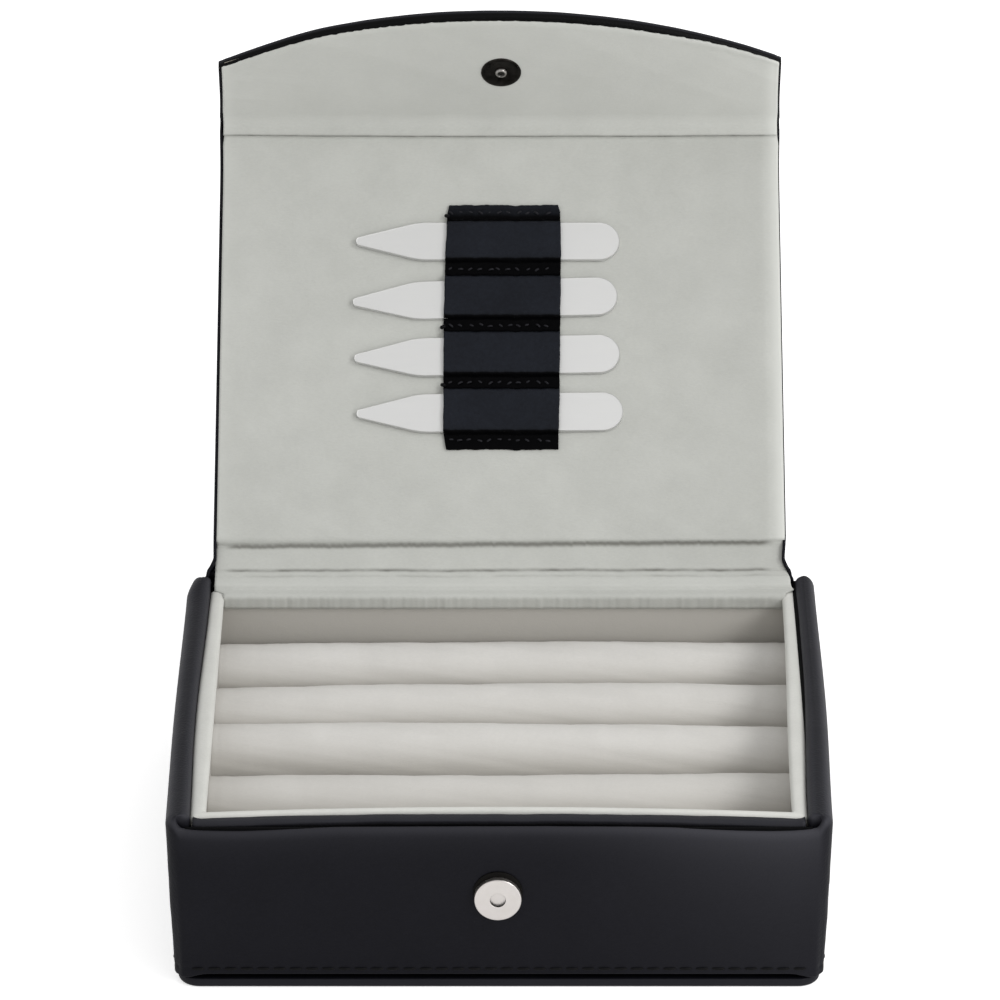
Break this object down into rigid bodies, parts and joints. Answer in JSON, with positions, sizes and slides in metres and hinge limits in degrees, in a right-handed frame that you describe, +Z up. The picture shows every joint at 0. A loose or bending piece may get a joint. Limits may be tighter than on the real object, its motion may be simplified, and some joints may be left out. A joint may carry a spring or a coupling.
{
  "type": "cufflink box",
  "caption": "Leather-covered cufflink box with a hinged lid, a front flap on a magnetic snap, suede rolls in a tray, and collar stays in a strap inside the lid.",
  "frame": {"origin": "centre of the base plate's underside", "axes": "+Z up, -Y towards the front with the snap, +X to the right seen from the front"},
  "size_m": [0.1458, 0.2024, 0.1552],
  "materials": {
    "leather": "smooth black, low sheen",
    "board": "grey paperboard",
    "lining": "grey suede",
    "roll_fabric": "pale suede",
    "foam": "soft foam",
    "stay_metal": "fine satin",
    "bright_metal": "satin nickel",
    "dark_metal": "gunmetal",
    "magnet": "dull black"
  },
  "bodies": {
    "box": {"base_leather": "leather", "base_board": "board", "floor_board": "board", "left_leather": "leather", "left_board": "board", "right_leather": "leather", "right_board": "board", "front_leather": "leather", "front_card": "board", "front_binding": "leather", "front_board": "board", "rear_board": "board", "rear_leather": "leather", "rear_lining": "lining", "tray_floor": "lining", "tray_front": "lining", "tray_rear": "lining", "tray_left": "lining", "tray_right": "lining", "roll_core_1": "foam", "roll_core_2": "foam", "roll_core_3": "foam", "roll_core_4": "foam", "roll_core_5": "foam", "roll_cover_1": "roll_fabric", "roll_cover_2": "roll_fabric", "roll_cover_3": "roll_fabric", "roll_cover_4": "roll_fabric", "roll_cover_5": "roll_fabric", "socket_casing": "bright_metal", "socket_magnet": "magnet", "socket_rivet": "dark_metal", "socket_washer": "dark_metal"},
    "lid": {"lid_leather": "leather", "lid_board": "board", "lid_lining": "lining", "stay_strap": "leather"},
    "flap": {"flap_leather": "leather", "flap_board": "board", "flap_lining": "lining", "snap_stud": "dark_metal", "stud_washer": "dark_metal"},
    "stay_1": {"collar_stay_1": "stay_metal"},
    "stay_2": {"collar_stay_2": "stay_metal"},
    "stay_3": {"collar_stay_3": "stay_metal"},
    "stay_4": {"collar_stay_4": "stay_metal"}
  },
  "joints": [
    {"name": "lid_hinge", "type": "hinge", "parent": "box", "child": "lid", "pos_m": [0, 0.0556, 0.0441], "axis": [1, 0, 0], "range_deg": [-55.5, 139.5]},
    {"name": "flap_fold", "type": "hinge", "parent": "lid", "child": "flap", "pos_m": [0, 0.14328, 0.1199], "axis": [1, 0, 0], "range_deg": [-71.9, 18.1]},
    {"name": "stay_slide_1", "type": "slide", "parent": "lid", "child": "stay_1", "axis": [1, 0, 0], "range_m": [-0.028, 0.034]},
    {"name": "stay_slide_2", "type": "slide", "parent": "lid", "child": "stay_2", "axis": [0.9999, 0.0113, 0.0096], "range_m": [-0.028, 0.034]},
    {"name": "stay_slide_3", "type": "slide", "parent": "lid", "child": "stay_3", "axis": [0.9999, 0.0119, 0.0102], "range_m": [-0.028, 0.034]},
    {"name": "stay_slide_4", "type": "slide", "parent": "lid", "child": "stay_4", "axis": [1, 0.006, 0.0051], "range_m": [-0.028, 0.034]}
  ]
}
